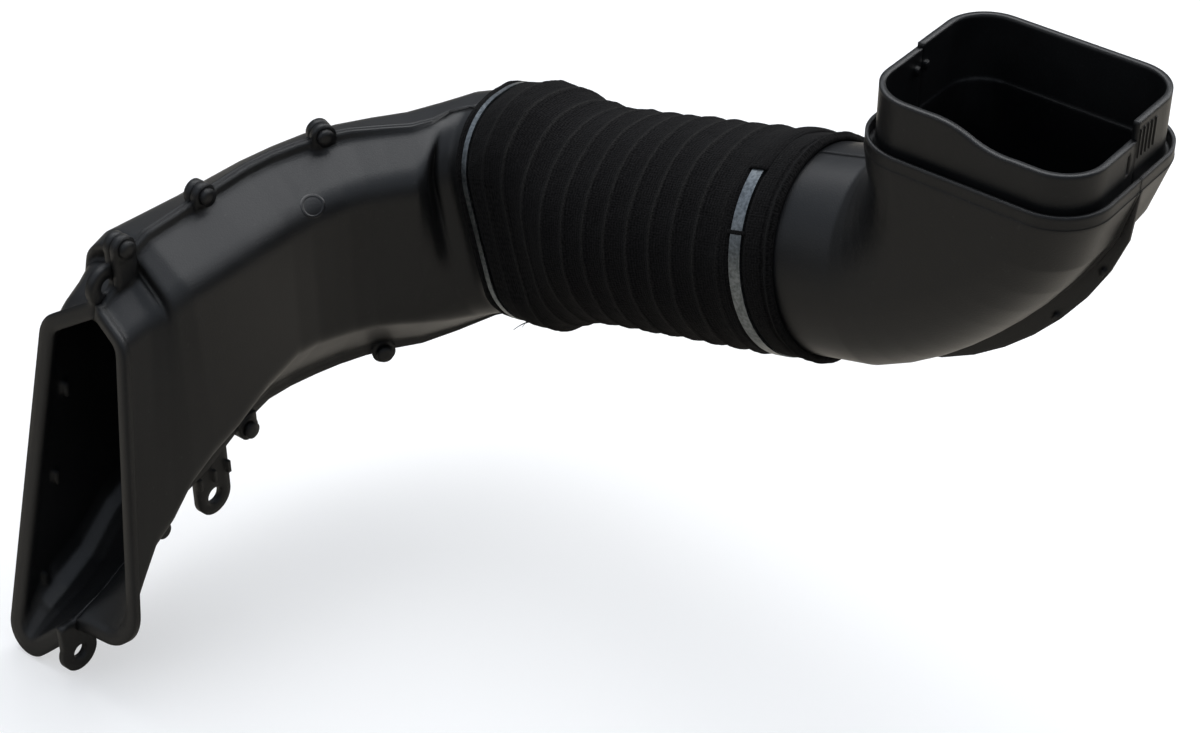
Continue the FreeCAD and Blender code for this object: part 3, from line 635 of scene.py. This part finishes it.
@dataclass
class Sleeve(TextilePiece):
    """The textile sleeve with its wire ridges, bulges and hems.

    Attributes:
        line: Axis and ends of the hose.
        hem: Sleeve beyond the scoop's strap.
        cuff: Sleeve beyond the elbow's strap.
        pitch: Pitch of the wire helix.
        crest: Height of a wire ridge.
        sag: Depth to which the textile sags between two ridges.
        rest: Height of the textile over the outline.
        wall: Thickness of the textile.
        thin_strap: Half width of the groove under the scoop's strap.
        wide_strap: Half width of the groove under the elbow's strap.
        strap_ease: Length in which a strap's groove runs out.
        bulge: Height of the bulge over the oval spigot's end.
        bulge_length: Half length of that bulge.
        bead: Height of the cuff's bead and depth of the groove beside it.
        wave: Height of the slow unevenness.
        ripple: Height of the quicker unevenness.
        fluff: Height of the finest unevenness.
        tuck: Depth to which both ends are rolled in.
        columns: Points round the sleeve.
        steps: Rows along the outside.
        lining: Rows along the inside.
    """

    line: HoseLine
    hem: float = 0.0055
    cuff: float = 0.0155
    pitch: float = 0.0107
    crest: float = 0.0006
    sag: float = 0.00035
    rest: float = 0.0009
    wall: float = 0.0013
    thin_strap: float = 0.0015
    wide_strap: float = 0.0029
    strap_ease: float = 0.0016
    bulge: float = 0.0017
    bulge_length: float = 0.011
    bead: float = 0.0008
    wave: float = 0.0006
    ripple: float = 0.00022
    fluff: float = 0.00016
    tuck: float = 0.0009
    columns: int = 240
    steps: int = 340
    lining: int = 40

    def turn(self, way: float, angle: float) -> float:
        """Return the distance from the nearest wire, in turns of the helix.

        Args:
            way: Distance along the axis from the scoop's strap.
            angle: Angle about the axis, in radians.

        Returns:
            The distance, from 0 to a half.
        """
        share = (way / self.pitch - angle / (2.0 * math.pi)) % 1.0
        return min(share, 1.0 - share)

    def wired(self, way: float) -> float:
        """Return how clearly the wire shows at a way, from 0 at the ends to 1.

        Args:
            way: Distance along the axis from the scoop's strap.

        Returns:
            The share.
        """
        return eased((way - 0.008) / 0.008) * self.free(way)

    def free(self, way: float) -> float:
        """Return 1 in the open run of the sleeve and 0 at the elbow's strap and cuff.

        Args:
            way: Distance along the axis from the scoop's strap.

        Returns:
            The share.
        """
        return eased((self.line.span - 0.004 - way) / 0.008)

    def lift(self, way: float, angle: float) -> float:
        """Return how far the textile stands off its outline.

        Args:
            way: Distance along the axis from the scoop's strap.
            angle: Angle about the axis, in radians.

        Returns:
            The distance outwards.
        """
        nip = min(
            eased((abs(way) - self.thin_strap) / self.strap_ease),
            eased((abs(way - self.line.span) - self.wide_strap) / self.strap_ease),
        )
        wire = self.wired(way)
        rise = self.rest + wire * self.crest * bell(self.turn(way, angle), 0.12)
        rise -= wire * self.sag * eased(self.turn(way, angle) * 2.0)
        rise += self.bulge * bell(way - self.line.oval_reach, self.bulge_length)
        rise += self.bead * bell(way - (self.line.span + self.cuff - 0.0012), 0.0009)
        rise -= self.bead * bell(way - (self.line.span + self.cuff - 0.0036), 0.0008)
        spot = Vector((way * 60.0, math.cos(angle) * 2.2, math.sin(angle) * 2.2))
        rise += noise.noise(spot) * self.wave + noise.noise(spot * 3.1) * self.ripple
        spot = Vector((way * 420.0, math.cos(angle) * 17.0, math.sin(angle) * 17.0))
        return nip * (rise + noise.noise(spot) * self.fluff)

    def build(self) -> bpy.types.Object:
        """Make the sleeve as one closed textile shell with rolled ends.

        Returns:
            The sleeve.
        """
        first, last = -self.hem, self.line.span + self.cuff
        angles = [2.0 * math.pi * index / self.columns for index in range(self.columns)]
        rows, ridges = [], []
        for step in range(self.steps + 1):
            way = first + (last - first) * step / self.steps
            tuck = self.tuck * (1.0 - eased(min(way - first, last - way) / 0.001))
            rows.append([self.line.place(way, angle, self.lift(way, angle) - tuck) for angle in angles])
            # Mask of the painted highlight along the wire ridges, kept as the ridge attribute.
            ridges += [self.wired(way) * bell(self.turn(way, angle), 0.055) for angle in angles]
        for step in range(self.lining, -1, -1):
            way = first + (last - first) * step / self.lining
            rows.append([self.line.place(way, angle, -self.wall) for angle in angles])
            ridges += [0.0] * self.columns
        piece = make_mesh("hose_sleeve_textile", rows, True, True)
        attribute = piece.data.attributes.new("ridge", "FLOAT", "POINT")
        attribute.data.foreach_set("value", ridges)
        sizes = (math.pi * self.line.bore / self.columns, (last - first) / self.steps)
        flat_coordinates(piece, self.columns, True, sizes)
        return piece

    def dress(self, piece: bpy.types.Object, material: bpy.types.Material) -> None:
        """Finish the sleeve and let it stand for its plain node.

        Args:
            piece: The sleeve.
            material: Textile material.
        """
        super().dress(piece, material)
        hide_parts("hose_sleeve")


@dataclass
class KeeperLoop(TextilePiece):
    """A textile loop sewn over a strap.

    Attributes:
        line: Axis and ends of the hose.
        name: Name of the piece.
        start: First angle about the axis, in degrees.
        finish: Last angle about the axis, in degrees.
        reach: Half of the loop's length along the axis.
        rise: Height over the outline.
        wall: Thickness of the loop.
        crown: Fall of the loop's edges below its middle.
        ripple: Height of its unevenness.
        step: Angle between two columns, in degrees.
        across: Rows over the strap.
    """

    line: HoseLine
    name: str
    start: float
    finish: float
    reach: float = 0.0044
    rise: float = 0.0021
    wall: float = 0.0007
    crown: float = 0.0012
    ripple: float = 0.00015
    step: float = 1.5
    across: int = 14

    def build(self) -> bpy.types.Object:
        """Make the loop as a thin crowned patch with a thickness.

        Returns:
            The loop.
        """
        turn = self.finish - self.start
        steps = max(4, int(turn / self.step))
        angles = [math.radians(self.start + turn * step / steps) for step in range(steps + 1)]
        over = [(spot / self.across * 2.0 - 1.0, self.rise) for spot in range(self.across + 1)]
        under = [(share, rise - self.wall) for share, rise in reversed(over)]
        rows = []
        for share, rise in over + under:
            way = self.line.span + share * self.reach
            height = rise - self.crown * abs(share) ** 4
            row = []
            for angle in angles:
                uneven = noise.noise(Vector((angle * 9.0, share * 2.0, 3.0))) * self.ripple
                row.append(self.line.place(way, angle, height + uneven))
            rows.append(row)
        piece = make_mesh(self.name, rows, False, True)
        flat_coordinates(piece, len(angles), False, (0.0011, 2.0 * self.reach / self.across))
        return piece


@dataclass
class LooseThread(TextilePiece):
    """The frayed thread end under the scoop's strap.

    Attributes:
        line: Axis and ends of the hose.
        name: Name of the piece.
        start: Way at which it leaves the sleeve.
        angle: Angle about the axis where it leaves the sleeve, in degrees.
        drift: Where its tip ends, along the hose and outwards.
        droop: Turn about the axis down to its tip, in degrees.
        root: Height at which it leaves the sleeve.
        taper: Share of the radius lost towards the tip.
        radius: Radius of the thread.
        steps: Rows along the thread.
        sides: Points round the thread.
    """

    line: HoseLine
    name: str
    start: float
    angle: float
    drift: tuple[float, float]
    droop: float = 5.0
    root: float = 0.0006
    taper: float = 0.6
    radius: float = 0.00045
    steps: int = 14
    sides: int = 8

    def build(self) -> bpy.types.Object:
        """Make the thread as a thin tapering tube.

        Returns:
            The thread.
        """
        rows = []
        for step in range(self.steps + 1):
            share = step / self.steps
            angle = math.radians(self.angle - self.droop * share)
            way = self.start + self.drift[0] * share
            middle = self.line.place(way, angle, self.root + self.drift[1] * share * share)
            size = self.radius * (1.0 - self.taper * share)
            row = []
            for side in range(self.sides):
                turn = 2.0 * math.pi * side / self.sides
                row.append(middle + Vector((0.0, math.cos(turn) * size, math.sin(turn) * size)))
            rows.append(row)
        piece = make_mesh(self.name, rows, True, False)
        flat_coordinates(piece, self.sides, True, (0.0003, 0.0006))
        return piece


@dataclass
class Ducts:
    """The moulded shells and the straps, which keep the shape of their nodes.

    Attributes:
        scoop: Names of the scoop's half shells.
        elbow: Names of the elbow's half shells.
        straps: Names of the steel straps.
    """

    scoop: tuple[str, ...] = ("scoop_front_shell", "scoop_rear_shell")
    elbow: tuple[str, ...] = ("elbow_front_shell", "elbow_rear_shell")
    straps: tuple[str, ...] = ("scoop_end_band", "elbow_end_band")

    @staticmethod
    def dress(nodes: dict, names: tuple[str, ...], material: bpy.types.Material) -> None:
        """Give some of the kept nodes their finish.

        Args:
            nodes: Nodes of the frame by name.
            names: Names of the nodes to finish.
            material: Their material.
        """
        for name in names:
            for slot in nodes[name].material_slots:
                slot.material = material
            LOG.info("%s dressed", name)


@dataclass(frozen=True)
class Lamp:
    """One soft lamp.

    Attributes:
        name: Name of the lamp.
        spot: Place of the lamp.
        side: Side of its square panel.
        power: Power in watts.
        aim: Point that the lamp faces.
    """

    name: str
    spot: Place
    side: float
    power: float
    aim: Place = (-0.12, -0.03, -0.1)

    def build(self) -> None:
        """Hang the lamp."""
        data = bpy.data.lights.new(self.name, "AREA")
        data.size = self.side
        data.energy = self.power
        lamp = bpy.data.objects.new(self.name, data)
        lamp.location = self.spot
        lamp.rotation_euler = (Vector(self.aim) - Vector(self.spot)).to_track_quat("-Z", "Y").to_euler()
        bpy.context.scene.collection.objects.link(lamp)


@dataclass
class Studio:
    """Pale floor, soft world light and soft lamps.

    Attributes:
        lamps: The lamps.
        floor_size: Side of the floor.
        floor_gap: Distance of the floor below the part.
        floor_colour: Colour of the floor as the camera sees it.
        bounce_colour: Colour of the floor as the part mirrors it.
        glow: Share of plain white in the floor as the camera sees it.
    """

    lamps: tuple[Lamp, ...] = (
        Lamp("key_softbox", (-0.45, 0.45, 1.25), 1.3, 20.0),
        Lamp("rim_softbox", (0.35, 1.1, 0.7), 0.8, 8.0),
        Lamp("fill_softbox", (-0.7, -1.3, 0.8), 0.8, 1.5),
    )
    floor_size: float = 14.0
    floor_gap: float = 0.0005
    floor_colour: Colour = (0.93, 0.93, 0.93)
    bounce_colour: Colour = (0.42, 0.38, 0.32)
    glow: float = 0.5

    def build(self, lowest: float) -> None:
        """Make the floor, the world and the lamps.

        Args:
            lowest: Height of the part's lowest point.
        """
        self.floor(lowest - self.floor_gap)
        self.world()
        for lamp in self.lamps:
            lamp.build()

    def floor(self, height: float) -> None:
        """Lay the floor, which the camera sees partly as plain white.

        Args:
            height: Height of the floor.
        """
        half = self.floor_size / 2.0
        rows = [[Vector((x, y, height)) for x in (-half, half)] for y in (-half, half)]
        plane = make_mesh("studio_floor", rows, False, False)
        material = bpy.data.materials.new("studio_floor")
        material.use_nodes = True
        bench = NodeBench(material.node_tree)
        shader = material.node_tree.nodes["Principled BSDF"]
        cloud = bench.add("ShaderNodeTexNoise", detail=2.0, scale=1.5)
        dim = tuple(value * 0.99 for value in self.floor_colour)
        camera_ray = bench.add("ShaderNodeLightPath").outputs["Is Camera Ray"]
        seen_colour = bench.blend(cloud.outputs["Fac"], self.floor_colour, dim)
        bench.link(bench.blend(camera_ray, self.bounce_colour, seen_colour), shader.inputs["Base Color"])
        shader.inputs["Roughness"].default_value = 0.9
        shader.inputs["Specular IOR Level"].default_value = 0.1
        plain = bench.add("ShaderNodeEmission", Color=(1.0, 1.0, 1.0, 1.0), strength=1.0)
        seen = bench.math("MULTIPLY", camera_ray, self.glow)
        mix = bench.add("ShaderNodeMixShader")
        bench.link(seen, mix.inputs[0])
        bench.link(shader.outputs[0], mix.inputs[1])
        bench.link(plain.outputs[0], mix.inputs[2])
        bench.link(mix.outputs[0], material.node_tree.nodes["Material Output"].inputs["Surface"])
        plane.data.materials.append(material)
        plane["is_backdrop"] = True

    @staticmethod
    def world() -> None:
        """Set a world that is cool and bright overhead, warm and dim at the sides and white to the camera."""
        world = bpy.data.worlds.new("studio_world")
        bpy.context.scene.world = world
        world.use_nodes = True
        bench = NodeBench(world.node_tree)
        light = world.node_tree.nodes["Background"]
        split = bench.add("ShaderNodeSeparateXYZ")
        bench.link(bench.add("ShaderNodeTexCoord").outputs["Generated"], split.inputs["Vector"])
        level = bench.ramp(split.outputs["Z"], -0.1, 1.0)
        bench.link(bench.blend(level, (0.10, 0.098, 0.094), (0.67, 0.74, 0.85)), light.inputs["Color"])
        plain = bench.add("ShaderNodeBackground", Color=(1.0, 1.0, 1.0, 1.0), strength=1.0)
        mix = bench.add("ShaderNodeMixShader")
        bench.link(bench.add("ShaderNodeLightPath").outputs["Is Camera Ray"], mix.inputs[0])
        bench.link(light.outputs[0], mix.inputs[1])
        bench.link(plain.outputs[0], mix.inputs[2])
        bench.link(mix.outputs[0], world.node_tree.nodes["World Output"].inputs["Surface"])


@dataclass
class PhotoCamera:
    """Camera at the photograph's viewing angle.

    Attributes:
        place: Place of the camera.
        azimuth: Turn about the vertical, in degrees.
        elevation: Height angle, in degrees.
        lens: Focal length in millimetres on a 36 mm wide sensor.
    """

    place: Place = (0.3492, -0.6775, 0.4685)
    azimuth: float = 38.0
    elevation: float = 37.0
    lens: float = 78.0

    def build(self) -> None:
        """Make the camera and look through it."""
        data = bpy.data.cameras.new("photo_camera")
        data.lens = self.lens
        data.sensor_width = 36.0
        data.sensor_fit = "HORIZONTAL"
        camera = bpy.data.objects.new("photo_camera", data)
        camera.location = self.place
        camera.rotation_euler = Euler((math.radians(90.0 - self.elevation), 0.0, math.radians(self.azimuth)))
        bpy.context.scene.collection.objects.link(camera)
        bpy.context.scene.camera = camera


def main() -> None:
    """Build the scene piece by piece."""
    logging.basicConfig(level=logging.INFO)
    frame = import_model()
    cad_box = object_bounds()
    bpy.context.scene.view_settings.view_transform = "Standard"
    scoop_plastic = DuctPlastic(Slot.PLASTIC.value, Coordinates.OBJECT, 1500.0, 22.0).build()
    elbow_plastic = DuctPlastic("elbow_plastic", Coordinates.OBJECT, 1500.0, 22.0, edge_radius=0.0025).build()
    fabric = SleeveFabric(Slot.FABRIC.value, Coordinates.UV, 1300.0, 60.0).build()
    steel = BandSteel(Slot.STEEL.value, Coordinates.OBJECT, 700.0, 90.0).build()
    LOG.info("finishes made")
    ducts = Ducts()
    ducts.dress(frame["nodes"], ducts.scoop, scoop_plastic)
    ducts.dress(frame["nodes"], ducts.elbow, elbow_plastic)
    ducts.dress(frame["nodes"], ducts.straps, steel)
    line = HoseLine()
    sleeve = Sleeve(line)
    sleeve.dress(sleeve.build(), fabric)
    LOG.info("sleeve made")
    for textile in (
        KeeperLoop(line, "keeper_thread", 31.0, 33.0),
        KeeperLoop(line, "keeper_cover", 66.0, 200.0),
        LooseThread(line, "loose_thread_long", 0.009, -52.0, (-0.014, 0.0050)),
        LooseThread(line, "loose_thread_short", 0.005, -53.0, (-0.006, 0.0032)),
    ):
        textile.dress(textile.build(), fabric)
        LOG.info("%s made", textile.name)
    Studio().build(float(cad_box[0][2]))
    PhotoCamera().build()


if __name__ == "__main__":
    main()
